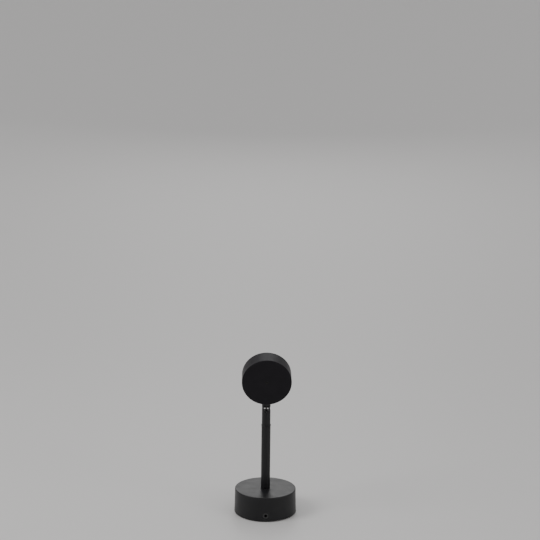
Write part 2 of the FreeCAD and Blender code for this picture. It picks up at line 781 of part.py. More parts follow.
def fork_knuckle():
    """A round bar with a spigot below and two ears above, round-topped about the tilting axis."""
    body = turned("fork_knuckle", "stand", [
        ("fork_bore_radius", "fork_spigot_end"),
        ("pole_thread_radius", "fork_spigot_end"),
        ("pole_thread_radius", "collar_top_height"),
        ("fork_radius", "collar_top_height"),
        ("fork_radius", "hinge_height + fork_radius"),
        ("fork_bore_radius", "hinge_height + fork_radius"),
    ])
    wall = {"z": "rear_wall_distance"}
    slot = rectangle(new_sketch(body, "XZ_Plane", wall), "-slot_half", "slot_bottom_height",
                     "slot_half", "hinge_height + 2 * fork_radius")
    cut_sketch(body, slot, "3 * fork_radius")
    rear_slot = rectangle(new_sketch(body, "XZ_Plane", wall),
                          "-slot_half", "hinge_height - rear_slot_depth",
                          "slot_half", "hinge_height + 2 * fork_radius")
    cut_sketch(body, rear_slot, "fork_radius", backwards=True)
    slit = rectangle(new_sketch(body, "XZ_Plane", wall), "-blade_slit_width / 2", "slot_bottom_height",
                     "blade_slit_width / 2", "hinge_height")
    cut_sketch(body, slit, "fork_radius", backwards=True)
    above_ears = outline(new_sketch(body, "YZ_Plane"), [
        ("-fork_radius", "hinge_height", ("in", "0", "hinge_height")),
        ("fork_radius", "hinge_height"),
        ("2 * fork_radius", "hinge_height"),
        ("2 * fork_radius", "hinge_height + 2 * fork_radius"),
        ("-2 * fork_radius", "hinge_height + 2 * fork_radius"),
        ("-2 * fork_radius", "hinge_height"),
    ])
    cut_sketch(body, above_ears, "3 * fork_radius", middle=True)
    window = rectangle(new_sketch(body, "XZ_Plane"), "-window_width / 2", "window_bottom_height",
                       "window_width / 2", "hinge_height")
    cut_sketch(body, window, "2 * fork_radius")
    screw_hole = outline(new_sketch(body, "XZ_Plane", {"y": "hinge_height"}), [
        ("-2 * fork_radius", "0"),
        ("2 * fork_radius", "0"),
        ("2 * fork_radius", "pivot_head_radius + pivot_clearance"),
        ("pivot_head_face", "pivot_head_radius + pivot_clearance"),
        ("pivot_head_back", "pivot_running_radius"),
        ("0", "pivot_running_radius"),
        ("0", "pivot_radius + thread_clearance"),
        ("-2 * fork_radius", "pivot_radius + thread_clearance"),
    ])
    cut_round(body, screw_hole, "H_Axis")


def pivot_screw():
    """Countersunk in the ear at +X, screwed into the ear at -X."""
    body = turned_about_pivot("pivot_screw", [
        ("-pivot_end", "0"),
        ("pivot_head_face", "0"),
        ("pivot_head_face", "pivot_head_radius"),
        ("pivot_head_back", "pivot_radius"),
        ("-pivot_end", "pivot_radius"),
    ])
    socket = new_sketch(body, "YZ_Plane", {"y": "hinge_height", "z": "pivot_head_face"})
    cut_sketch(body, hexagon(socket, "pivot_socket_flats"), "pivot_socket_depth")


def pair_about_pivot(name, frame, inner, outer, near, far, shift=None):
    """Two equal rings on the tilting axis, one each side of the middle."""
    body = new_body(name, frame)
    profile = rectangle(new_sketch(body, "XZ_Plane", shift), near, inner, far, outer)
    mirror_features(body, [spin(body, profile, "H_Axis")])


def spacer_washers():
    pair_about_pivot("spacer_washers", "stand", "pivot_running_radius", "spacer_radius",
                     "spacer_inner_face", "spacer_outer_face", {"y": "hinge_height"})


def friction_washers():
    pair_about_pivot("friction_washers", "stem", "pivot_running_radius", "friction_washer_radius",
                     "blade_half", "friction_face")


# --- stem ------------------------------------------------------------------------------------------

def wire_slot(sketch, radius):
    """The long hole for both wires, its ends round; across is X, up is along the lens axis."""
    return outline(sketch, [
        ("-wire_spread", "wire_forward - " + radius),
        ("wire_spread", "wire_forward - " + radius, ("out", "wire_spread", "wire_forward")),
        ("wire_spread", "wire_forward + " + radius),
        ("-wire_spread", "wire_forward + " + radius, ("out", "-wire_spread", "wire_forward")),
    ])


def tilt_stem():
    """Blade with an eye, thick shoulder above it that fills the slot, neck with a flat front,
    flange cut to sit on the round head, and a threaded stub."""
    body = turned("tilt_stem", "stem", [
        ("0", "neck_start"),
        ("neck_radius", "neck_start"),
        ("neck_radius", "flange_start"),
        ("flange_radius - flange_edge", "flange_start"),
        ("flange_radius", "flange_start + flange_edge"),
        ("flange_radius", "wall_distance + head_wall"),
        ("0", "wall_distance + head_wall"),
    ])
    flat = rectangle(new_sketch(body, "YZ_Plane"), "neck_flat", "neck_start",
                     "2 * neck_radius", "flange_start")
    cut_sketch(body, flat, "2 * flange_radius", middle=True)
    shoulder = rectangle(new_sketch(body, "YZ_Plane"), "-shoulder_rear", "shoulder_start / 2",
                         "shoulder_front", "neck_start + blade_thickness")
    raise_sketch(body, shoulder, "slot_width - 2 * shoulder_play", middle=True)
    hollow = circle(new_sketch(body, "YZ_Plane"), "0", "0", "shoulder_start")
    cut_sketch(body, hollow, "slot_width", middle=True)
    blade = outline(new_sketch(body, "YZ_Plane"), [
        ("-eye_radius", "0", ("out", "0", "0")),
        ("eye_radius", "0"),
        ("neck_flat", "neck_start + blade_thickness"),
        ("-neck_flat", "neck_start + blade_thickness"),
    ])
    raise_sketch(body, blade, "blade_thickness", middle=True)
    saddle = circle(new_sketch(body, "XZ_Plane"), "0", "head_offset", "head_radius")
    cut_sketch(body, saddle, "3 * flange_radius", middle=True)
    eye = circle(new_sketch(body, "YZ_Plane"), "0", "0", "pivot_running_radius")
    cut_sketch(body, eye, "2 * blade_thickness", middle=True)
    slot = wire_slot(new_sketch(body, "XY_Plane", {"z": "flange_start"}), "grommet_radius")
    cut_sketch(body, slot, "head_wall + wall_distance - flange_start", backwards=True)
    stub = circle(new_sketch(body, "XY_Plane", {"z": "neck_start + blade_thickness"}),
                  "0", "0", "stub_radius")
    raise_sketch(body, stub, "stub_end - neck_start - blade_thickness")


def stem_washer():
    ring("stem_washer", "stem", "stub_radius + screw_hole_clearance", "stem_washer_radius",
         "seat_distance", "stem_nut_start")


def stem_nut():
    hexagon_nut("stem_nut", "stem", "stem_nut_flats", "stub_radius + thread_clearance",
                "stem_nut_start", "stem_nut_thickness")


def wire_grommet():
    body = new_body("wire_grommet", "stem")
    sleeve = wire_slot(new_sketch(body, "XY_Plane", {"z": "flange_start"}), "grommet_radius")
    raise_sketch(body, sleeve, "wall_distance + head_wall - flange_start")
    hole = circle(new_sketch(body, "XY_Plane", {"z": "flange_start"}),
                  "wire_spread", "wire_forward", "wire_hole_radius")
    mirror_features(body, [cut_sketch(body, hole, "2 * head_offset", backwards=True)])


# --- head ------------------------------------------------------------------------------------------

def head_housing():
    body = turned("head_housing", "head", [
        ("rear_screw_head_radius + pivot_clearance", "head_back"),
        ("head_radius", "head_back"),
        ("head_radius", "bezel_seam - seam_chamfer"),
        ("head_radius - seam_chamfer", "bezel_seam"),
        ("thread_bore_radius", "bezel_seam"),
        ("thread_bore_radius", "skirt_end"),
        ("head_inner_radius", "skirt_end"),
        ("head_inner_radius", "head_floor"),
        ("rear_screw_radius + screw_hole_clearance", "head_floor"),
        ("rear_screw_radius + screw_hole_clearance", "head_back + rear_screw_head_depth"),
    ])
    round_edges(body, circle_at(value("head_radius"), value("head_back")), "head_edge_round")
    seat = circle(new_sketch(body, "XZ_Plane"), "0", "0", "stem_nut_flats / sqrt(3) + screw_hole_clearance")
    cut_sketch(body, seat, "head_inner_radius + stem_seat_depth")
    stub_hole = circle(new_sketch(body, "XZ_Plane"), "0", "0", "stub_radius + screw_hole_clearance")
    cut_sketch(body, stub_hole, "head_diameter")
    slot = wire_slot(new_sketch(body, "XZ_Plane"), "grommet_radius")
    cut_sketch(body, slot, "head_diameter")


def front_bezel():
    """The front ring: rim, dished face, lip round the lens, barrel behind it and outer skirt."""
    body = turned("front_bezel", "head", [
        ("barrel_bore_radius", "barrel_end"),
        ("barrel_radius", "barrel_end"),
        ("barrel_radius", "skirt_end"),
        ("skirt_radius", "skirt_end"),
        ("skirt_radius", "bezel_seam"),
        ("head_radius - seam_chamfer", "bezel_seam"),
        ("head_radius", "bezel_seam + seam_chamfer"),
        ("head_radius", "head_front"),
        ("head_radius - bezel_rim_width", "head_front"),
        ("lens_opening_radius + bezel_rim_width", "dish_floor"),
        ("lens_opening_radius", "dish_floor"),
        ("lens_opening_radius", "lip_back"),
        ("barrel_bore_radius", "lip_back"),
    ])
    round_edges(body, circle_at(value("head_radius"), value("head_front")), "bezel_edge_round")


def lens():
    turned("lens", "head", [
        ("0", "lens_back"),
        ("lens_radius", "lens_back"),
        ("lens_radius", "lens_shoulder"),
        ("dome_radius", "lens_shoulder", ("out", "0", "lens_centre")),
        ("0", "lens_apex"),
    ])


def lens_gasket():
    ring("lens_gasket", "head", "lens_radius - gasket_width", "lens_radius",
         "lens_shoulder", "lip_back")


def colour_filter():
    turned("colour_filter", "head", [
        ("0", "filter_back"), ("filter_radius", "filter_back"),
        ("filter_radius", "lens_back"), ("0", "lens_back"),
    ])


def retaining_ring():
    """Screwed into the barrel behind the lens, with a seat for the filter and two key notches."""
    body = turned("retaining_ring", "head", [
        ("ring_opening_radius", "ring_back"),
        ("ring_radius", "ring_back"),
        ("ring_radius", "lens_back"),
        ("filter_radius + filter_clearance", "lens_back"),
        ("filter_radius + filter_clearance", "filter_back"),
        ("ring_opening_radius", "filter_back"),
    ])
    notch = rectangle(new_sketch(body, "XY_Plane", {"z": "ring_back + ring_notch_depth"}),
                      "-head_radius", "-ring_notch_width / 2",
                      "head_radius", "ring_notch_width / 2")
    cut_sketch(body, notch, "2 * ring_notch_depth")


def rear_screw():
    body = turned("rear_screw", "head", [
        ("0", "head_back"),
        ("rear_screw_head_radius", "head_back"),
        ("rear_screw_radius", "head_back + rear_screw_head_depth"),
        ("rear_screw_radius", "head_back + rear_screw_length"),
        ("0", "head_back + rear_screw_length"),
    ])
    socket = hexagon(new_sketch(body, "XY_Plane", {"z": "head_back"}), "rear_socket_flats")
    cut_sketch(body, socket, "rear_socket_depth", backwards=True)


# --- light source ----------------------------------------------------------------------------------

def heat_sink():
    """A plate with a boss that stands on the rear wall, and radial fins between them."""
    body = turned("heat_sink", "head", [
        ("rear_screw_radius + thread_clearance", "head_floor"),
        ("sink_boss_radius", "head_floor"),
        ("sink_boss_radius", "sink_face - sink_plate"),
        ("sink_radius", "sink_face - sink_plate"),
        ("sink_radius", "sink_face"),
        ("rear_screw_radius + thread_clearance", "sink_face"),
    ])
    fin = rectangle(new_sketch(body, "XY_Plane", {"z": "head_floor + fin_gap"}),
                    "fin_inner_radius", "-fin_thickness / 2",
                    "sink_radius - fin_thickness", "fin_thickness / 2")
    fins = [raise_sketch(body, fin, "sink_face - sink_plate - head_floor - fin_gap")]
    repeat_round(body, fins, "fin_count")
    screw_hole = circle(new_sketch(body, "XY_Plane", {"z": "sink_face"}),
                        "board_screw_offset", "0", "board_screw_radius + thread_clearance")
    mirror_features(body, [cut_sketch(body, screw_hole, "sink_plate")])


def thermal_pad():
    body = ring("thermal_pad", "head", "rear_screw_radius + thread_clearance", "board_radius",
                "sink_face", "board_back")
    hole = circle(new_sketch(body, "XY_Plane", {"z": "board_back"}),
                  "board_screw_offset", "0", "board_screw_radius + screw_hole_clearance")
    mirror_features(body, [cut_sketch(body, hole, "pad_thickness")])


def led_board():
    """A round board with notches in its rim and two screw holes."""
    body = turned("led_board", "head", [
        ("0", "board_back"), ("board_radius", "board_back"),
        ("board_radius", "board_face"), ("0", "board_face"),
    ])
    notch = circle(new_sketch(body, "XY_Plane", {"z": "board_face"}),
                   "board_radius * cos(45)", "board_radius * sin(45)", "board_notch_radius")
    repeat_round(body, [cut_sketch(body, notch, "board_thickness")], "board_notch_count")
    hole = circle(new_sketch(body, "XY_Plane", {"z": "board_face"}),
                  "board_screw_offset", "0", "board_screw_radius + screw_hole_clearance")
    mirror_features(body, [cut_sketch(body, hole, "board_thickness")])


def board_screws():
    body = new_body("board_screws", "head")
    screw = outline(new_sketch(body, "XZ_Plane", {"x": "board_screw_offset"}), [
        ("0", "board_face - board_screw_depth"),
        ("board_screw_radius", "board_face - board_screw_depth"),
        ("board_screw_radius", "board_face"),
        ("board_screw_head_radius", "board_face"),
        ("board_screw_head_radius", "board_face + board_screw_head_height"),
        ("0", "board_face + board_screw_head_height"),
    ])
    mirror_features(body, [spin(body, screw)])


def led_emitter():
    """A square base with a half-round silicone dome."""
    half = "emitter_side / 2"
    body = new_body("led_emitter", "head")
    base = rectangle(new_sketch(body, "XY_Plane", {"z": "board_face"}),
                     "-" + half, "-" + half, half, half)
    raise_sketch(body, base, "emitter_base")
    dome = outline(new_sketch(body, "XZ_Plane", {"y": "board_face + emitter_base"}), [
        ("0", "0"), ("emitter_dome_radius", "0", ("out", "0", "0")), ("0", "emitter_dome_radius"),
    ])
    spin(body, dome)


def light_baffle():
    """A tube round the board that opens into a cone up to the filter, with a notch for wires."""
    body = turned("light_baffle", "head", [
        ("baffle_foot_radius - baffle_wall", "sink_face"),
        ("baffle_foot_radius", "sink_face"),
        ("baffle_foot_radius", "sink_face + baffle_tube_height"),
        ("ring_opening_radius + baffle_wall", "baffle_top"),
        ("ring_opening_radius", "baffle_top"),
        ("baffle_foot_radius - baffle_wall", "sink_face + baffle_tube_height + baffle_wall"),
    ])
    notch = rectangle(new_sketch(body, "XZ_Plane"), "-baffle_notch_width / 2", "sink_face",
                      "baffle_notch_width / 2", "sink_face + baffle_notch_height")
    cut_sketch(body, notch, "2 * baffle_foot_radius")


# --- wires -----------------------------------------------------------------------------------------

BEND_SHARE = 0.45                   # of the shorter of two straight runs goes into the bend between


def bent_wire(points, radius):
    """A round wire along straight runs joined by arcs."""
    edges = []
    here = points[0]
    for before, corner, after in zip(points, points[1:], points[2:]):
        inward = (corner - before).normalize()
        outward = (after - corner).normalize()
        reach = BEND_SHARE * min((corner - before).Length, (after - corner).Length)
        half_turn = inward.getAngle(outward) / 2
        start = corner - inward * reach
        end = corner + outward * reach
        bend = reach / math.tan(half_turn)
        to_centre = (outward - inward).normalize()
        middle = corner + to_centre * (bend / math.cos(half_turn) - bend)
        edges.append(Part.LineSegment(here, start).toShape())
        edges.append(Part.Arc(start, middle, end).toShape())
        print("    bend radius %.1f" % bend)
        here = end
    edges.append(Part.LineSegment(here, points[-1]).toShape())
    path = Part.Wire(edges)
    first = (points[1] - points[0]).normalize()
    section = Part.Wire([Part.Circle(points[0], first, radius).toShape()])
    solid = path.makePipeShell([section], True, False)
    print("    length %.1f, volume against section times length %.4f" % (
        path.Length, solid.Volume / (math.pi * radius ** 2 * path.Length)))
    return solid


def twin_lead(name, frame, points):
    """Two equal wires, mirrored in the YZ plane."""
    wire = bent_wire(points, value("wire_radius"))
    piece = doc.addObject("Part::Feature", name)
    piece.Label = name
    piece.Shape = Part.Compound([wire, wire.mirror(Vector(0, 0, 0), Vector(1, 0, 0))])
    stand_in_frame(piece, frame)
    pieces.append(piece)


def from_stem(across, forward, up):
    """A point of the stem's frame in the stand's."""
    turn = Rotation(Vector(1, 0, 0), value("head_tilt"))
    return Vector(0, 0, value("hinge_height")) + turn.multVec(Vector(across, forward, up))


def pole_wires():
    """From the board, up through the nipple and the pole into the fork."""
    beside = value("wire_pair_offset")
    on_board = value("driver_top + wire_radius + wire_clearance")
    board_front = value("driver_width / 2 - driver_distance")
    nipple_end = value("nipple_end")
    twin_lead("pole_wires", "stand", [
        Vector(beside, board_front - value("lead_start"), on_board),
        Vector(beside, board_front + value("lead_reach"), on_board + value("lead_lift")),
        Vector(beside, -value("lead_swing"), nipple_end - value("lead_drop")),
        Vector(beside, 0, nipple_end + value("lead_entry")),
        Vector(beside, 0, value("wires_meet_height")),
    ])


def hinge_wires():
    """From the fork's bore, past the blade in front of the spacers, to the grommet."""
    beside = value("wire_pair_offset")
    spread = value("wire_spread")
    forward = value("wire_forward")
    past_spacer = value("spacer_radius + wire_radius + hinge_lead_gap")
    twin_lead("hinge_wires", "stand", [
        Vector(beside, 0, value("wires_meet_height")),
        Vector(beside, 0, value("window_bottom_height + hinge_lead_start")),
        Vector(spread, past_spacer, value("hinge_height - hinge_lead_below")),
        Vector(spread, past_spacer + value("hinge_lead_bow"), value("hinge_height + hinge_lead_above")),
        from_stem(spread, forward, value("neck_start - hinge_lead_end")),
        from_stem(spread, forward, value("flange_start")),
    ])


def head_wires():
    """From the grommet, either side of the stem's nut, through the baffle to the LED board."""
    spread = value("wire_spread")
    forward = value("wire_forward")
    beside_nut = value("stem_nut_flats / sqrt(3) + wire_radius + nut_lead_gap")
    inside_wall = value("barrel_radius + wire_radius + barrel_lead_gap")
    on_board = value("board_face + wire_radius + wire_clearance")
    twin_lead("head_wires", "head", [
        Vector(spread, value("head_offset - flange_start"), forward),
        Vector(spread, inside_wall, forward),
        Vector(beside_nut, inside_wall - value("head_lead_side"), forward - value("head_lead_back")),
        Vector(beside_nut, inside_wall - value("head_lead_inward"), on_board + value("head_lead_lift")),
        Vector(value("board_lead_bend"), value("baffle_foot_radius + baffle_lead_gap"),
               on_board + value("lead_lift")),
        Vector(value("board_lead_end"), value("board_radius - board_lead_inset"), on_board),
    ])


# --- build, check and write ------------------------------------------------------------------------

MAKERS = [
    base_shell, base_weight, bottom_plate, base_screws, foot_pad, cable_bush,
    driver_board, driver_screws, driver_chip, current_resistors,
    threaded_nipple, lock_washer, pole_nut, pole_tube, collar_ring,
    fork_knuckle, pivot_screw, spacer_washers, friction_washers,
    tilt_stem, stem_washer, stem_nut, wire_grommet,
    head_housing, front_bezel, lens, lens_gasket, colour_filter, retaining_ring, rear_screw,
    heat_sink, thermal_pad, led_board, board_screws, led_emitter, light_baffle,
    pole_wires, hinge_wires, head_wires,
]

for make in MAKERS:
    print(make.__name__)
    make()

doc.recompute()

for item in doc.Objects:
    if "Invalid" in item.State or "Error" in item.State:
        raise RuntimeError("%s failed: %s" % (item.Label, item.State))
for piece in pieces:
    if piece.Shape.isNull() or not piece.Shape.isValid() or not piece.Shape.Solids:
        raise RuntimeError(piece.Label + " has no valid solid")

os.makedirs("parts", exist_ok=True)
for piece in pieces:
    piece.Shape.exportStep("parts/%s.step" % piece.Label)
print(len(pieces), "nodes written")
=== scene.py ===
# %% [markdown]
# # A sunset projection lamp, seen from behind
#
# The lamp stands on a weighted round base. A slim tube carries a slotted knuckle, and the knuckle
# holds a short round head that tilts. A strong LED in the head shines through a coloured glass and
# a thick lens, and throws a coloured disc on the wall. The solids come packed from the CAD model,
# so this lesson only gives them their finishes, adds the small parts that are quicker to make
# here, and lights the whole.

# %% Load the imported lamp
import json
import math

import bpy
from mathutils import Matrix, Vector


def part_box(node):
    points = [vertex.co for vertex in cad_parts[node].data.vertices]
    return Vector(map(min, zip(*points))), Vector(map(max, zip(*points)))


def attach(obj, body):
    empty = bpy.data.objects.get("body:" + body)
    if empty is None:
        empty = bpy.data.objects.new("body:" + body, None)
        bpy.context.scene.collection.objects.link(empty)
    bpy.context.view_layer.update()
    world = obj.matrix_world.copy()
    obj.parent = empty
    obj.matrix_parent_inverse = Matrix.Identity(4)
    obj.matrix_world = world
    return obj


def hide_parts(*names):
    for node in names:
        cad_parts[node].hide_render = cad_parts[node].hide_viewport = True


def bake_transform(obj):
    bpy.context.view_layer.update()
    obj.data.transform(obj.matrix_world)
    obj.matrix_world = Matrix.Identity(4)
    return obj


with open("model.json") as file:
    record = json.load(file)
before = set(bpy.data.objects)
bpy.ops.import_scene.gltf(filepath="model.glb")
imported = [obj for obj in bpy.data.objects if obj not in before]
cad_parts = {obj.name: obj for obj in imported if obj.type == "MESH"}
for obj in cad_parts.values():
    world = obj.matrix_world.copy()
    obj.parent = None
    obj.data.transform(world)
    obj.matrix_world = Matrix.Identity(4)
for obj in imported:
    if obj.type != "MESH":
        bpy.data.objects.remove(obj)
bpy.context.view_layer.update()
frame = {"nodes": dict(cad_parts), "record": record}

parts = frame["nodes"]
MM = 0.001


def in_scene(name, data):
    """An object that shows this mesh, curve, light or camera."""
    thing = bpy.data.objects.new(name, data)
    bpy.context.scene.collection.objects.link(thing)
    return thing


# %% [markdown]
# ## Camera
#
# The ellipses of the base and of the head's two faces, and the length of the pole, fix where the
# photograph was taken from: about 1.4 m behind the lamp and 0.54 m above the table, looking down
# nine degrees. A camera is easiest to place by the three directions that it looks along, because
# then its small lean needs no angles in a certain order.

# %% Stand the camera where the photograph was taken from
CAMERA_AT = Vector((-0.0268, -1.3880, 0.5422))
LOOK_ACROSS = math.radians(1.221)       # to the right
LOOK_DOWN = math.radians(9.002)
LEAN = math.radians(0.666)
FOCAL_PIXELS = 1100
PICTURE_PIXELS = 540
SENSOR = 36                             # mm
NEAREST = 0.01                          # nothing closer than this is drawn

forward = Vector((math.sin(LOOK_ACROSS) * math.cos(LOOK_DOWN),
                  math.cos(LOOK_ACROSS) * math.cos(LOOK_DOWN),
                  -math.sin(LOOK_DOWN)))
level = Vector((math.cos(LOOK_ACROSS), -math.sin(LOOK_ACROSS), 0))
upright = level.cross(forward)
right = level * math.cos(LEAN) + upright * math.sin(LEAN)
up = upright * math.cos(LEAN) - level * math.sin(LEAN)

lens_settings = bpy.data.cameras.new("camera")
lens_settings.sensor_width = SENSOR
lens_settings.lens = FOCAL_PIXELS / PICTURE_PIXELS * SENSOR
lens_settings.clip_start = NEAREST
camera = in_scene("camera", lens_settings)
facing = Matrix((right, up, -forward)).transposed()
camera.matrix_world = Matrix.Translation(CAMERA_AT) @ facing.to_4x4()
bpy.context.scene.camera = camera
print("lens: %.1f mm" % lens_settings.lens)

# %% [markdown]
# ## Floor
#
# A black object on a dark table would be a hole in the picture, so this one stands on a plain pale
# floor. Far from the lamp the floor rises all round in one large curve, as a paper roll does in a
# studio, so no horizon crosses the picture from any side. A plane with walls would show its
# corners. A mesh turned from one profile has none, and a short loop makes it.

# %% Lay the floor and let it rise at its rim
FLAT_RADIUS = 0.9
CURVE_RADIUS = 7.0
RIM_SLOPE = math.radians(60)
CURVE_STEPS = 48
FLOOR_SIDES = 128
FLOOR_DROP = 0.0002                     # under the foot, so that the two faces never coincide
PALE = (0.62, 0.61, 0.60)


def set_shader(material, **values):
    """Plain values on the shader's sockets, such as Coat_Weight=0.4."""
    shader = material.node_tree.nodes["Principled BSDF"]
    for name, given in values.items():
        shader.inputs[name.replace("_", " ")].default_value = given


def shaded(name, colour, **values):
    """A new material of one plain colour, with other shader values as named."""
    material = bpy.data.materials.new(name)
    material.use_nodes = True
    set_shader(material, Base_Color=(*colour, 1), **values)
    return material


slopes = [RIM_SLOPE * number / CURVE_STEPS for number in range(CURVE_STEPS + 1)]
profile = [(FLAT_RADIUS + CURVE_RADIUS * math.sin(slope), CURVE_RADIUS * (1 - math.cos(slope)))
           for slope in slopes]
turns = [2 * math.pi * side / FLOOR_SIDES for side in range(FLOOR_SIDES)]
corners = [(out * math.cos(turn), out * math.sin(turn), z) for out, z in profile for turn in turns]
tiles = [tuple(range(FLOOR_SIDES))]
for row in range(CURVE_STEPS):
    inner = row * FLOOR_SIDES
    outer = inner + FLOOR_SIDES
    for side in range(FLOOR_SIDES):
        after = (side + 1) % FLOOR_SIDES
        tiles.append((inner + side, outer + side, outer + after, inner + after))
floor_mesh = bpy.data.meshes.new("floor")
floor_mesh.from_pydata(corners, [], tiles)
floor_mesh.shade_smooth()
floor_mesh.materials.append(shaded("pale_floor", PALE, Roughness=0.55))
floor = in_scene("floor", floor_mesh)
floor.location.z = -FLOOR_DROP
print("floor tiles:", len(tiles))

# %% [markdown]
# ## Light
#
# Large soft lamps show the form of a black object by their reflections, where small ones would
# draw hard dots on the satin coat. The largest hangs low beyond the object, where the glowing wall
# is in the photograph: the flat top of the base catches it, and the side of the head stays dark. A
# pale sky fills the shadows.

# %% Hang the soft lamps
SKY_COLOUR = (0.90, 0.90, 0.91, 1)
SKY_STRENGTH = 0.8
LAMPS_AIM = Vector((0, 0, 0.1))

surroundings = bpy.data.worlds.new("soft_room")
surroundings.use_nodes = True
sky = surroundings.node_tree.nodes["Background"]
sky.inputs["Color"].default_value = SKY_COLOUR
sky.inputs["Strength"].default_value = SKY_STRENGTH
bpy.context.scene.world = surroundings


def soft_lamp(name, place, side, watts):
    """A square soft lamp, turned towards the object."""
    glow = bpy.data.lights.new(name, "AREA")
    glow.shape = "SQUARE"
    glow.size = side
    glow.energy = watts
    lamp = in_scene(name, glow)
    lamp.location = place
    lamp.rotation_euler = (LAMPS_AIM - Vector(place)).to_track_quat("-Z", "Y").to_euler()
    print(name, watts, "W")


soft_lamp("beyond", (0.1, 2.6, 1.5), side=1.1, watts=8)
soft_lamp("left", (-1.5, -0.6, 1.4), side=0.9, watts=16)
soft_lamp("right", (1.4, -1.0, 0.8), side=0.6, watts=5)

# %% [markdown]
# ## Places on the lamp
#
# The head leans back by 14 degrees, so its points are easier to give as a maker measures them:
# from the tilting axis, or from the middle of the head along the lens axis. Three small functions
# turn such measures, in millimetres, into places in the scene. Empties with parents could do the
# same, but then every point would need an object of its own.

# %% Places on the lamp
def on_stand(across, ahead, height):
    """A point in mm from the middle of the base's foot."""
    return Vector((across, ahead, height)) * MM


HINGE = on_stand(0, 0, 140)             # the tilting axis crosses the pole's axis here
HEAD_CENTRE = on_stand(0, -10.524, 182.208)
HEAD_LEAN = math.radians(14)
HEAD_TURN = math.radians(-76)           # from the lamp's Z axis to the lens axis


def from_hinge(across, ahead, above):
    """A point about the tilting axis, leaning back with the head."""
    return HINGE + Matrix.Rotation(HEAD_LEAN, 3, "X") @ Vector((across, ahead, above)) * MM


def from_lens_axis(across, down, ahead):
    """A point about the lens axis, from the middle of the head."""
    return HEAD_CENTRE + Matrix.Rotation(HEAD_TURN, 3, "X") @ Vector((across, down, ahead)) * MM


print("middle of the head in mm:", [round(x / MM, 2) for x in HEAD_CENTRE])

# %% [markdown]
# ## How the finishes are made
#
# Each finish is a short chain of nodes: the place on the surface, a pattern at its real size, and
# then a small change of colour, gloss or height. The chains could be drawn in the shader editor.
# Written out, they keep their sizes in sight, and a helper takes up what repeats. A size in
# millimetres is turned into the scale that a noise node needs. Every pattern reads Object
# coordinates, which are metres in the lamp's own frame. Patterns on the head are laid out about
# the lens axis.

# %% Helpers for node chains
finishes = {}


def new_finish(slot_name, colour, **values):
    """A material for one slot, kept under the slot's name."""
    finishes[slot_name] = shaded(slot_name, colour, **values)
    return finishes[slot_name]


def add_node(tree, kind, settings=None, **sockets):
    """Add a node. A socket is named, or numbered with a leading underscore, and is given a plain
    value or another node's output."""
    node = tree.nodes.new(kind)
    for name, setting in (settings or {}).items():
        setattr(node, name, setting)
    for name, given in sockets.items():
        socket = node.inputs[int(name[1:]) if name[0] == "_" else name.replace("_", " ")]
        if isinstance(given, bpy.types.NodeSocket):
            tree.links.new(given, socket)
        else:
            socket.default_value = given
    return node


def chain(material, kind, output, settings=None, **sockets):
    """Add a node to a material and hand out one of its outputs."""
    return add_node(material.node_tree, kind, settings, **sockets).outputs[output]


def to_shader(material, output, socket):
    """Join an output to one of the shader's sockets."""
    shader = material.node_tree.nodes["Principled BSDF"]
    material.node_tree.links.new(output, shader.inputs[socket])


PATTERN_FRAMES = {"head": (HEAD_CENTRE, HEAD_TURN), "hinge": (HINGE, 0.0)}


def place_on(material, frame_name="stand"):
    """Where a point is: in the lamp's frame, or about the lens axis, or about the tilting axis."""
    here = chain(material, "ShaderNodeTexCoord", "Object")
    if frame_name == "stand":
        return here
    centre, angle = PATTERN_FRAMES[frame_name]
    return chain(material, "ShaderNodeMapping", "Vector", {"vector_type": "TEXTURE"}, Vector=here,
                 Location=centre, Rotation=(angle, 0, 0))


def grain(material, place, grain_mm, detail):
    """Cloudy noise whose spots are about grain_mm across."""
    return chain(material, "ShaderNodeTexNoise", "Fac", Vector=place, Scale=0.5 / (grain_mm * MM),
                 Detail=detail, Roughness=0.55)


def two_colours(material, pattern, first, second):
    """The first colour where the pattern is 0, the second where it is 1."""
    mix = add_node(material.node_tree, "ShaderNodeMix", {"data_type": "RGBA"}, Factor=pattern,
                   _6=(*first, 1), _7=(*second, 1))
    return mix.outputs[2]


def raised(material, pattern, height_mm, strength=1.0, under=None):
    """Turn a pattern into relief; under is the relief that it lies on."""
    bump = add_node(material.node_tree, "ShaderNodeBump", Height=pattern, Distance=height_mm * MM,
                    Strength=strength)
    if under is not None:
        material.node_tree.links.new(under, bump.inputs["Normal"])
    return bump.outputs["Normal"]


def clouded(material, place, first, second, grain_mm, detail=3):
    """Two colours that drift into each other."""
    pattern = grain(material, place, grain_mm, detail)
    to_shader(material, two_colours(material, pattern, first, second), "Base Color")


def uneven_gloss(material, place, low, high, grain_mm, detail=4):
    """Roughness that wanders between low and high."""
    roughness = chain(material, "ShaderNodeMapRange", "Result", From_Min=0.25, From_Max=0.75,
                      Value=grain(material, place, grain_mm, detail), To_Min=low, To_Max=high)
    to_shader(material, roughness, "Roughness")


print("frames for patterns:", sorted(PATTERN_FRAMES))

# %% [markdown]
# ## Powder coat
#
# The base, the pole and the knuckle are steel with a satin black powder coat. The powder melts
# into a skin that is faintly wavy, like orange peel, with a much finer grain on it. Two noises of
# different sizes give that. The gloss wanders a little too, because the skin is never cured quite
# evenly, and hands polish it.

# %% Powder coat the base, the pole and the knuckle
COAT = (0.005, 0.005, 0.006)
FADED_COAT = (0.010, 0.010, 0.011)
COAT_CLOUDS = 9                         # mm across, as every pattern size below
COAT_GLOSS_PATCHES = 5
POWDER_GRAIN = 0.12
POWDER_HEIGHT = 0.006


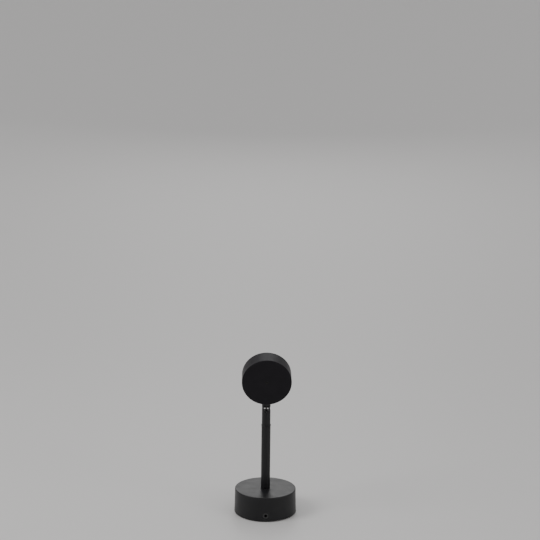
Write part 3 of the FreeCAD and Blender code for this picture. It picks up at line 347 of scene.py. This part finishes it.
def powder_coat(slot_name, peel_mm, peel_height, low, high):
    """Orange peel of the given size and height, and roughness from low to high."""
    coat = new_finish(slot_name, COAT, Specular_IOR_Level=0.32)
    place = place_on(coat)
    clouded(coat, place, COAT, FADED_COAT, COAT_CLOUDS)
    uneven_gloss(coat, place, low, high, COAT_GLOSS_PATCHES)
    peel = raised(coat, grain(coat, place, peel_mm, 1), peel_height)
    powder = grain(coat, place, POWDER_GRAIN, 2)
    to_shader(coat, raised(coat, powder, POWDER_HEIGHT, 0.8, under=peel), "Normal")


powder_coat("black_base_paint", peel_mm=1.1, peel_height=0.012, low=0.34, high=0.44)
powder_coat("black_pole_paint", peel_mm=0.7, peel_height=0.006, low=0.30, high=0.40)
print("powder coats:", len(finishes))

# %% [markdown]
# ## Black anodised aluminium
#
# The head and its front ring are turned from aluminium, blasted with fine beads and anodised
# black. Anodising dyes the metal itself, so it keeps a low metallic sheen, and the very fine marks
# of the lathe still show as circles about the lens axis. The parts inside the head get the same
# dye straight on the turned surface, so their circles are stronger.

# %% Anodise the head
DYE = (0.006, 0.005, 0.007)
WORN_DYE = (0.011, 0.010, 0.013)
DYE_CLOUDS = 6
DYE_GLOSS_PATCHES = 3.5
GLOSS_SPREAD = 0.05
BEAD_MARK = 0.09


def rings(material, place, pitch_mm):
    """Fine even grooves, as a lathe leaves them."""
    return chain(material, "ShaderNodeTexWave", "Fac",
                 {"wave_type": "RINGS", "rings_direction": "Z", "wave_profile": "SIN"},
                 Vector=place, Scale=math.pi / 10 / (pitch_mm * MM))


def black_anodised(slot_name, groove_mm, groove_height, blast_height, rough):
    """Lathe grooves of the given pitch and height under the marks of the beads."""
    dyed = new_finish(slot_name, DYE, Metallic=0.25, Specular_IOR_Level=0.22)
    place = place_on(dyed, "head")
    clouded(dyed, place, DYE, WORN_DYE, DYE_CLOUDS)
    uneven_gloss(dyed, place, rough - GLOSS_SPREAD, rough + GLOSS_SPREAD, DYE_GLOSS_PATCHES)
    lathe = raised(dyed, rings(dyed, place, groove_mm), groove_height)
    beads = grain(dyed, place, BEAD_MARK, 1)
    to_shader(dyed, raised(dyed, beads, blast_height, 0.8, under=lathe), "Normal")


black_anodised("black_head_anodised", 0.22, groove_height=0.0006, blast_height=0.005, rough=0.44)
black_anodised("black_inner_aluminium", 0.3, groove_height=0.004, blast_height=0.001, rough=0.45)
print("anodised:", [name for name in finishes if "aluminium" in name or "anodised" in name])

# %% [markdown]
# ## Bare and plated metal
#
# Six kinds of bare metal are left: the polished pivot, zinc plated hardware, the blackened
# screws, the solder, the turned heat sink, and the rough casting of the weight. What tells them
# apart is the size of the marks. A polished pin has the faintest ones, plating is cloudy, and a
# casting is coarse, dull and dark in its pits. One function with those sizes as arguments makes
# nearly all of them, so they stay easy to compare.

# %% Polish, plate and cast
def marked(material, place, grain_mm, height_mm, detail=2, strength=1.0):
    """Small marks or pits all over."""
    pattern = grain(material, place, grain_mm, detail)
    to_shader(material, raised(material, pattern, height_mm, strength), "Normal")


def bare_metal(slot_name, colour, tint, rough, clouds, marks, mark_height, where="stand",
               metal=1.0):
    """Clouds of a second tint, uneven gloss, and marks of the given size and height in mm."""
    surface = new_finish(slot_name, colour, Metallic=metal)
    place = place_on(surface, where)
    clouded(surface, place, colour, tint, clouds)
    uneven_gloss(surface, place, rough * 0.8, rough * 1.25, clouds * 0.6)
    marked(surface, place, marks, mark_height)
    return surface


ZINC = {"colour": (0.62, 0.62, 0.60), "tint": (0.66, 0.62, 0.50), "rough": 0.34,
        "clouds": 4.0, "marks": 0.30, "mark_height": 0.004}
bare_metal("zinc_steel", **ZINC)
bare_metal("polished_steel", (0.80, 0.80, 0.80), (0.72, 0.72, 0.74), rough=0.13,
           clouds=1.5, marks=0.15, mark_height=0.0006, where="hinge")
bare_metal("dark_steel", (0.020, 0.020, 0.022), (0.032, 0.030, 0.028), rough=0.38,
           clouds=2.0, marks=0.2, mark_height=0.003)
bare_metal("tinned", (0.66, 0.66, 0.66), (0.52, 0.52, 0.51), rough=0.22,
           clouds=0.9, marks=0.25, mark_height=0.008)
bare_metal("cast_iron", (0.11, 0.105, 0.10), (0.06, 0.055, 0.05), rough=0.70,
           clouds=6.0, marks=0.9, mark_height=0.10, metal=0.85)

sink = new_finish("bare_aluminium", (0.76, 0.76, 0.77), Metallic=1.0)
sink_place = place_on(sink, "head")
uneven_gloss(sink, sink_place, 0.22, 0.36, grain_mm=3, detail=3)
to_shader(sink, raised(sink, rings(sink, sink_place, 0.25), 0.004), "Normal")
print("metals:", [name for name in finishes if "steel" in name or "iron" in name])

# %% [markdown]
# ## Screw thread
#
# The hollow nipple that clamps the pole to the base has a fine screw thread. As a mesh it would
# take thousands of faces that nobody sees. Here the relief follows a wave that climbs one pitch
# for each turn about the pole: taking the angle away from the climb joins the crests into a helix.

# %% Cut the thread of the nipple
THREAD_PITCH = 1.0
THREAD_HEIGHT = 0.25


def arithmetic(material, operation, *given):
    """One step of reckoning on one or two values."""
    values = {"_%d" % number: value for number, value in enumerate(given)}
    return chain(material, "ShaderNodeMath", "Value", {"operation": operation}, **values)


threaded = bare_metal("zinc_thread", **ZINC)
corner = add_node(threaded.node_tree, "ShaderNodeSeparateXYZ", Vector=place_on(threaded)).outputs
about = arithmetic(threaded, "ARCTAN2", corner["Y"], corner["X"])
climb = arithmetic(threaded, "MULTIPLY", corner["Z"], 2 * math.pi / (THREAD_PITCH * MM))
thread = arithmetic(threaded, "SINE", arithmetic(threaded, "SUBTRACT", climb, about))
to_shader(threaded, raised(threaded, thread, THREAD_HEIGHT), "Normal")
print("thread pitch:", THREAD_PITCH, "mm")

# %% [markdown]
# ## Rubber, plastic and fibre
#
# Soft and moulded parts have no metallic sheen. Foam rubber shows its cut cells, so a cell pattern
# (Voronoi) stands in for noise, and the sunk middle of each cell is painted darker, as painted
# shade in the pores. Moulded plastic takes the spark-eroded texture of its mould.
# Silicone insulation is smooth with a broad sheen, and the fibre discs show short flakes.

# %% Mould the soft parts
FOAM_CELL = 0.5
FOAM_CELL_DEPTH = 0.12


def moulded(slot_name, colour, lighter, rough, grain_mm, height, where="stand"):
    """Texture of the given grain and height in mm; colour and gloss change over a few grains."""
    soft = new_finish(slot_name, colour)
    place = place_on(soft, where)
    clouded(soft, place, colour, lighter, grain_mm * 6)
    uneven_gloss(soft, place, rough - 0.06, rough + 0.06, grain_mm * 4, detail=3)
    marked(soft, place, grain_mm, height)


moulded("black_plastic", (0.018, 0.018, 0.019), (0.026, 0.026, 0.027),
        rough=0.52, grain_mm=0.25, height=0.02)
moulded("soft_rubber", (0.020, 0.020, 0.021), (0.030, 0.029, 0.028),
        rough=0.60, grain_mm=0.4, height=0.01)
moulded("wire_black", (0.014, 0.014, 0.015), (0.022, 0.021, 0.021),
        rough=0.42, grain_mm=0.5, height=0.006)
moulded("fibre_washer", (0.055, 0.040, 0.030), (0.11, 0.075, 0.05),
        rough=0.75, grain_mm=0.18, height=0.02, where="hinge")
moulded("pad_grey", (0.42, 0.44, 0.46), (0.50, 0.52, 0.54),
        rough=0.65, grain_mm=0.3, height=0.02, where="head")
moulded("chip_black", (0.020, 0.020, 0.021), (0.032, 0.031, 0.030),
        rough=0.48, grain_mm=0.12, height=0.01)

foam = new_finish("foam_rubber", (0.022, 0.022, 0.023), Roughness=0.85)
cells = chain(foam, "ShaderNodeTexVoronoi", "Distance", Vector=place_on(foam),
              Scale=1 / (FOAM_CELL * MM))
# painted shade: the colour darkens towards each cell's middle, where the bump sinks it into a pore
foam_cells_and_pit_shade = two_colours(foam, cells, (0.010, 0.010, 0.011), (0.036, 0.035, 0.034))
to_shader(foam, foam_cells_and_pit_shade, "Base Color")
to_shader(foam, raised(foam, cells, FOAM_CELL_DEPTH), "Normal")
print("finishes so far:", len(finishes))

# %% [markdown]
# ## Circuit boards and their parts
#
# The driver board is green solder resist over copper, and the copper runs show through as lighter
# lines. The LED stands on a white board with a copper ring under its resist. Resistors carry
# painted bands, which follow their length, so the bands are steps of one coordinate. The length
# of the resistors comes from their own box.

# %% Print the boards and paint the bands
COPPER_RUN_PITCH = 4.2
COPPER_THICKNESS = 0.03
RING_START = 6.1                        # where the copper ring's edge begins to rise
RING_EDGE = 6.4


def off_axis(material, place):
    """How far a point is from the Z axis of its frame."""
    flat = chain(material, "ShaderNodeVectorMath", "Vector", {"operation": "MULTIPLY"},
                 _0=place, _1=(1, 1, 0))
    return chain(material, "ShaderNodeVectorMath", "Value", {"operation": "LENGTH"}, _0=flat)


def share_between(material, value, low, high, kind="LINEAR"):
    """0 at low and 1 at high."""
    return chain(material, "ShaderNodeMapRange", "Result", {"interpolation_type": kind},
                 Value=value, From_Min=low, From_Max=high)


def colour_steps(material, share, stops, kind="LINEAR"):
    """Colours at their places along a 0 to 1 share."""
    ramp = add_node(material.node_tree, "ShaderNodeValToRGB", Fac=share)
    ramp.color_ramp.interpolation = kind
    while len(ramp.color_ramp.elements) < len(stops):
        ramp.color_ramp.elements.new(0.5)
    for element, (at, colour) in zip(ramp.color_ramp.elements, stops):
        element.position = at
        element.color = (*colour, 1)
    return ramp.outputs["Color"]


board = new_finish("board_green", (0.02, 0.16, 0.06), Roughness=0.32, Coat_Weight=0.4)
runs = chain(board, "ShaderNodeTexBrick", "Fac",
             {"offset": 0.37, "offset_frequency": 2, "squash": 0.6}, Vector=place_on(board),
             Scale=1 / (COPPER_RUN_PITCH * MM), Mortar_Size=0.07, Mortar_Smooth=0.2)
to_shader(board, two_colours(board, runs, (0.012, 0.10, 0.04), (0.06, 0.26, 0.10)), "Base Color")
to_shader(board, raised(board, runs, COPPER_THICKNESS), "Normal")

white = new_finish("board_white", (0.84, 0.84, 0.82))
white_place = place_on(white, "head")
ring = share_between(white, off_axis(white, white_place), RING_START * MM, RING_EDGE * MM,
                     kind="SMOOTHSTEP")
to_shader(white, two_colours(white, ring, (0.86, 0.86, 0.84), (0.78, 0.79, 0.76)), "Base Color")
to_shader(white, raised(white, ring, COPPER_THICKNESS), "Normal")
uneven_gloss(white, white_place, 0.33, 0.45, grain_mm=2, detail=3)

TAN = (0.42, 0.30, 0.17)
TIN = (0.6, 0.6, 0.6)
RED = (0.25, 0.02, 0.02)
BLACK = (0.02, 0.02, 0.02)
ORANGE = (0.30, 0.10, 0.01)
GOLD = (0.50, 0.36, 0.08)
BANDS = [(0, TIN), (0.06, TAN), (0.2, RED), (0.29, TAN), (0.38, BLACK), (0.47, TAN),
         (0.56, ORANGE), (0.65, TAN), (0.78, GOLD), (0.86, TAN), (0.94, TIN)]

resistors_low, resistors_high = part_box("current_resistors")
resistor = new_finish("resistor_body", TAN, Roughness=0.3)
resistor_place = place_on(resistor)
along = chain(resistor, "ShaderNodeSeparateXYZ", "Y", Vector=resistor_place)
share = share_between(resistor, along, resistors_low.y, resistors_high.y)
to_shader(resistor, colour_steps(resistor, share, BANDS, "CONSTANT"), "Base Color")
marked(resistor, resistor_place, grain_mm=0.4, height_mm=0.01)
print("resistor bands:", len(BANDS))

# %% [markdown]
# ## Light source, colour glass and lens
#
# The LED is yellow phosphor under clear silicone, and it is lit. The colour glass is what makes
# the sunset: its coating lets blue through in the middle and orange towards the rim, because the
# light crosses it at a growing slant. A ramp along the distance from the lens axis paints that.
# The lens itself is plain thick glass, with only the faintest polishing marks.

# %% Light the LED, coat the glass, polish the lens
FILTER_RADIUS = 22.6
SUNSET = [(0.0, (0.05, 0.50, 0.62)), (0.35, (0.08, 0.28, 0.75)), (0.58, (0.32, 0.10, 0.70)),
          (0.78, (0.80, 0.07, 0.42)), (1.0, (0.95, 0.30, 0.06))]

phosphor = new_finish("emitter_yellow", (0.90, 0.62, 0.10), Roughness=0.18, Coat_Weight=1.0,
                      Coat_Roughness=0.05, Emission_Color=(1.0, 0.86, 0.62, 1),
                      Emission_Strength=3.0)
clouded(phosphor, place_on(phosphor, "head"), (0.86, 0.56, 0.07), (0.94, 0.70, 0.16),
        grain_mm=0.25, detail=2)

coated = new_finish("colour_film", (0.85, 0.35, 0.25), Roughness=0.06, Transmission_Weight=0.55,
                    IOR=1.5, Coat_Weight=0.6, Coat_Roughness=0.03)
coated_place = place_on(coated, "head")
outward = share_between(coated, off_axis(coated, coated_place), 0.0, FILTER_RADIUS * MM)
to_shader(coated, colour_steps(coated, outward, SUNSET), "Base Color")
marked(coated, coated_place, grain_mm=5, height_mm=0.002, detail=1)

clear = new_finish("lens_glass", (0.97, 0.985, 0.98), Transmission_Weight=1.0, IOR=1.52)
clear_place = place_on(clear, "head")
marked(clear, clear_place, grain_mm=8, height_mm=0.001, detail=1, strength=0.5)
uneven_gloss(clear, clear_place, 0.005, 0.03, grain_mm=6, detail=3)
print("finishes in all:", len(finishes))

# %% [markdown]
# ## Give every part its finish
#
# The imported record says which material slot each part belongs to, so one loop over it is enough.
# It also shows at once if a finish was forgotten. Only the nipple departs from its slot, because
# the plated hardware has no thread elsewhere.

# %% Dress the parts
slot_of = {entry["node"]: entry["material_slot"] for entry in frame["record"]["subparts"]}
for node, part in sorted(parts.items()):
    part.material_slots[0].material = finishes[slot_of[node]]
parts["threaded_nipple"].material_slots[0].material = finishes["zinc_thread"]
print("dressed:", len(slot_of), "in no slot:", sorted(set(finishes) - set(slot_of.values())))

# %% [markdown]
# ## A sweep for wires
#
# A wire is a round section along a smooth route. A curve's own bevel could make it, but then the
# number of rings would hang on the curve's resolution. Geometry Nodes sweeps the section instead,
# and named inputs keep the wire's radius and the fineness of the mesh in view. The result is kept
# as a plain mesh, because that is what the two bodies can move.

# %% A sweep along a path, as a node tree
def start_tree(name, inputs):
    """A node tree that takes geometry and the named inputs of its job; hands out both."""
    tree = bpy.data.node_groups.new(name, "GeometryNodeTree")
    tree.interface.new_socket("Geometry", in_out="INPUT", socket_type="NodeSocketGeometry")
    for label, kind, default in inputs:
        socket = tree.interface.new_socket(label, in_out="INPUT", socket_type="NodeSocket" + kind)
        if default is not None:
            socket.default_value = default
    tree.interface.new_socket("Geometry", in_out="OUTPUT", socket_type="NodeSocketGeometry")
    return tree, tree.nodes.new("NodeGroupInput").outputs


def step(tree, kind, output, settings=None, **sockets):
    """Add a geometry node and hand out one of its outputs."""
    return add_node(tree, "GeometryNode" + kind, settings, **sockets).outputs[output]


def close_tree(tree, geometry, finish):
    """Realize what was instanced, give it its finish and hand it out."""
    real = step(tree, "RealizeInstances", "Geometry", Geometry=geometry)
    done = step(tree, "SetMaterial", "Geometry", Geometry=real, Material=finish)
    tree.links.new(done, tree.nodes.new("NodeGroupOutput").inputs[0])


def made_real(host, tree, name, **values):
    """Run a tree on a host object and keep the result as a plain mesh object."""
    modifier = host.modifiers.new(tree.name, "NODES")
    modifier.node_group = tree
    for item in tree.interface.items_tree:
        label = item.name.replace(" ", "_").lower()
        if item.item_type == "SOCKET" and item.in_out == "INPUT" and label in values:
            modifier[item.identifier] = values[label]
    graph = bpy.context.evaluated_depsgraph_get()
    mesh = bpy.data.meshes.new_from_object(host.evaluated_get(graph))
    mesh.name = name
    host.modifiers.remove(modifier)
    bpy.data.objects.remove(host)
    print(name, "faces:", len(mesh.polygons))
    return in_scene(name, mesh)


def routes(name, ways, kind="NURBS", fineness=12):
    """A curve object with one spline along each way, a list of points in metres."""
    curve = bpy.data.curves.new(name, "CURVE")
    curve.dimensions = "3D"
    for way in ways:
        spline = curve.splines.new(kind)
        spline.points.add(len(way) - 1)
        for point, place in zip(spline.points, way):
            point.co = (*place, 1)
        spline.order_u = 3
        spline.use_endpoint_u = True
        spline.resolution_u = fineness
    return in_scene(name, curve)


sweep, given = start_tree("swept_wire", [
    ("Wire Radius", "Float", 0.85 * MM), ("Rings Per Wire", "Int", 60), ("Sides", "Int", 16),
    ("Finish", "Material", None)])
fine_path = step(sweep, "ResampleCurve", "Curve", Curve=given["Geometry"],
                 Count=given["Rings Per Wire"])
section = step(sweep, "CurvePrimitiveCircle", "Curve", Resolution=given["Sides"],
               Radius=given["Wire Radius"])
tube = step(sweep, "CurveToMesh", "Mesh", Curve=fine_path, Profile_Curve=section, Fill_Caps=True)
close_tree(sweep, step(sweep, "SetShadeSmooth", "Geometry", Geometry=tube), given["Finish"])
print("tree:", sweep.name)

# %% [markdown]
# ## The lead at the knuckle
#
# Two wires leave the pole through a window in the knuckle, pass in front of the pivot and go up
# into the head. They bend when the head tilts. Here the CAD solid is hidden, and the wires are
# swept as a plain mesh along their route at the head's present tilt.

# %% Lead the two wires past the pivot
BESIDE = 0.9                            # from the middle, where the wires lie together
SPREAD = 1.75                           # either side of the blade
WIRE_AHEAD = 4.9                        # in front of the stem's axis

lead_ways = [[on_stand(side * BESIDE, 0, 126),
              on_stand(side * BESIDE, 0.1, 129.4),
              on_stand(side * 0.84, 2.6, 134.2),        # close together under the blade
              on_stand(side * 0.95, 3.9, 135.2),
              on_stand(side * SPREAD, 4.35, 137.2),
              on_stand(side * SPREAD, 4.5, 141),
              from_hinge(side * SPREAD, WIRE_AHEAD, 5.7),
              from_hinge(side * SPREAD, WIRE_AHEAD, 9.2)] for side in (-1, 1)]
bent_lead = made_real(routes("lead_path", lead_ways, fineness=24), sweep, "hinge_lead",
                      finish=finishes["wire_black"])
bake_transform(bent_lead)
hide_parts("hinge_wires")

# %% [markdown]
# ## Solder
#
# What fastens parts to a circuit board is small and repeats. A solder joint is a flattened drop.
# Drops could be copied by hand, but a tree puts one on every point it is given and then turns and
# moves the whole set on to its board, so one tree serves both boards.

# %% Solder the joints
driver_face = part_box("driver_board")[1].z / MM
RESISTOR_ACROSS = 4.3
RESISTOR_RADIUS = 1.2
LEAD_REACH = 1.0                        # a lead enters the board this far beyond its resistor
resistor_ends = (resistors_low.y / MM - LEAD_REACH, resistors_high.y / MM + LEAD_REACH)
WIRE_END = -15.0                        # where the insulation ends on the driver board
WIRE_DROP = WIRE_END - 0.75
PAD_ACROSS = 3.4                        # on the LED board, measured from the lens axis
PAD_DOWN = 7.4
LED_FACE = -3.1
LED_DROP_RADIUS = 1.0

drops, given = start_tree("solder_joints", [
    ("Drop Radius", "Float", 0.78 * MM), ("Drop Height", "Float", 0.6 * MM),
    ("Board Place", "Vector", (0, 0, 0)), ("Board Turn", "Vector", (0, 0, 0)),
    ("Finish", "Material", None)])
ball = step(drops, "MeshUVSphere", "Mesh", Segments=24, Rings=14, Radius=1.0)
shape = add_node(drops, "ShaderNodeCombineXYZ", X=given["Drop Radius"], Y=given["Drop Radius"],
                 Z=given["Drop Height"]).outputs["Vector"]
drop = step(drops, "Transform", "Geometry", Geometry=ball, Scale=shape)
smooth_drop = step(drops, "SetShadeSmooth", "Geometry", Geometry=drop)
laid = step(drops, "InstanceOnPoints", "Instances", Points=given["Geometry"], Instance=smooth_drop)
on_board = step(drops, "Transform", "Geometry", Geometry=laid, Translation=given["Board Place"],
                Rotation=given["Board Turn"])
close_tree(drops, on_board, given["Finish"])


def soldered(name, body, points, **inputs):
    """Drops of solder on these points of a board, in mm."""
    marks = bpy.data.meshes.new(name)
    marks.from_pydata([Vector(point) * MM for point in points], [], [])
    piece = made_real(in_scene(name, marks), drops, name, finish=finishes["tinned"], **inputs)
    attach(piece, body)


driver_points = [(side * BESIDE, WIRE_DROP, driver_face) for side in (-1, 1)]
driver_points += [(side * RESISTOR_ACROSS, end, driver_face)
                  for side in (-1, 1) for end in resistor_ends]
led_points = [(side * PAD_ACROSS, PAD_DOWN, LED_FACE) for side in (-1, 1)]
soldered("driver_solder", "stand", driver_points)
soldered("led_solder", "head", led_points, board_place=HEAD_CENTRE, board_turn=(HEAD_TURN, 0, 0),
         drop_radius=LED_DROP_RADIUS * MM)

# %% [markdown]
# ## Leads and bare ends
#
# A resistor's lead leaves its end, turns down and enters the board, and the bare end of each wire
# dips into its solder. As solids of the CAD model they would cut into the board. Here a few points
# each are enough for the sweep above, with a thinner section and fewer faces.

# %% Bend the leads and the bare ends of the wires
RESISTOR_LEAD_RADIUS = 0.28
BARE_WIRE_RADIUS = 0.36
resistor_axis = driver_face + RESISTOR_RADIUS
LEAD_WAY = [(1.3, resistor_axis), (0.6, resistor_axis), (0.0, resistor_axis),
            (0.0, 18.0), (0.0, driver_face - 0.2)]      # before the lead's end, and its height
DRIVER_TIP = [(-0.2, 18.48), (0.4, 18.42), (0.75, 18.1), (0.85, 17.7)]
LED_TIP = [(8.2, -2.22), (7.7, -2.25), (7.45, -2.6), (7.4, -3.0)]       # down and ahead


def swept_piece(name, body, ways, radius):
    """Bare metal wire along each way."""
    piece = made_real(routes(name, ways), sweep, name, wire_radius=radius * MM,
                      rings_per_wire=24, sides=12, finish=finishes["tinned"])
    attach(piece, body)


leads = [[on_stand(side * RESISTOR_ACROSS, end + inward * before, height)
          for before, height in LEAD_WAY]
         for end, inward in zip(resistor_ends, (1, -1)) for side in (-1, 1)]
swept_piece("resistor_leads", "stand", leads, RESISTOR_LEAD_RADIUS)
driver_tips = [[on_stand(side * BESIDE, WIRE_END - away, height) for away, height in DRIVER_TIP]
               for side in (-1, 1)]
swept_piece("driver_wire_tips", "stand", driver_tips, BARE_WIRE_RADIUS)
led_tips = [[from_lens_axis(side * PAD_ACROSS, down, ahead) for down, ahead in LED_TIP]
            for side in (-1, 1)]
swept_piece("led_wire_tips", "head", led_tips, BARE_WIRE_RADIUS)

# %% [markdown]
# ## Legs of the chip
#
# The chip stands on eight legs, four on each side, bent from flat strip. An array modifier could
# repeat them. This tree also sweeps the strip along the leg, lays out a row and turns it half
# round for the other side, and it keeps the number of legs and their pitch as inputs.

# %% Set out the chip's legs
LEG_WAY = [(-0.2, 0.80), (0.30, 0.80), (0.40, 0.72), (0.50, 0.20), (0.58, 0.12), (0.78, 0.10)]

legs, given = start_tree("chip_legs", [
    ("Legs Per Side", "Int", 4), ("Pitch", "Float", 1.27 * MM), ("Leg Width", "Float", 0.42 * MM),
    ("Leg Thickness", "Float", 0.16 * MM), ("Chip Place", "Vector", (0, 0, 0)),
    ("Finish", "Material", None)])


def reckoned(operation, first, second):
    """One step of reckoning in the tree of the legs."""
    return add_node(legs, "ShaderNodeMath", {"operation": operation},
                    _0=first, _1=second).outputs["Value"]


def along_x(distance):
    """A distance along the row, as a vector."""
    return add_node(legs, "ShaderNodeCombineXYZ", X=distance).outputs["Vector"]


strip = step(legs, "CurvePrimitiveQuadrilateral", "Curve", Width=given["Leg Width"],
             Height=given["Leg Thickness"])
level_path = step(legs, "SetCurveNormal", "Curve", {"mode": "Z_UP"}, Curve=given["Geometry"])
leg = step(legs, "CurveToMesh", "Mesh", Curve=level_path, Profile_Curve=strip, Fill_Caps=True)
spans = reckoned("SUBTRACT", given["Legs Per Side"], 1.0)
row_start = reckoned("MULTIPLY", reckoned("MULTIPLY", spans, given["Pitch"]), -0.5)
row = step(legs, "MeshLine", "Mesh", Count=given["Legs Per Side"],
           Start_Location=along_x(row_start), Offset=along_x(given["Pitch"]))
one_side = step(legs, "InstanceOnPoints", "Instances", Points=row, Instance=leg)
other_side = step(legs, "Transform", "Geometry", Geometry=one_side, Rotation=(0, 0, math.pi))
both = add_node(legs, "GeometryNodeJoinGeometry")
for side_of_chip in (one_side, other_side):
    legs.links.new(side_of_chip, both.inputs["Geometry"])
in_place = step(legs, "Transform", "Geometry", Geometry=both.outputs["Geometry"],
                Translation=given["Chip Place"])
close_tree(legs, in_place, given["Finish"])

chip_low, chip_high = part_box("driver_chip")
chip_foot = Vector(((chip_low.x + chip_high.x) / 2, (chip_low.y + chip_high.y) / 2, chip_low.z))
half_chip = (chip_high.y - chip_low.y) / 2 / MM
leg_way = [on_stand(0, half_chip + out, height) for out, height in LEG_WAY]
chip_legs = made_real(routes("leg_path", [leg_way], kind="POLY"), legs, "chip_legs",
                      chip_place=chip_foot, finish=finishes["tinned"])
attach(chip_legs, "stand")
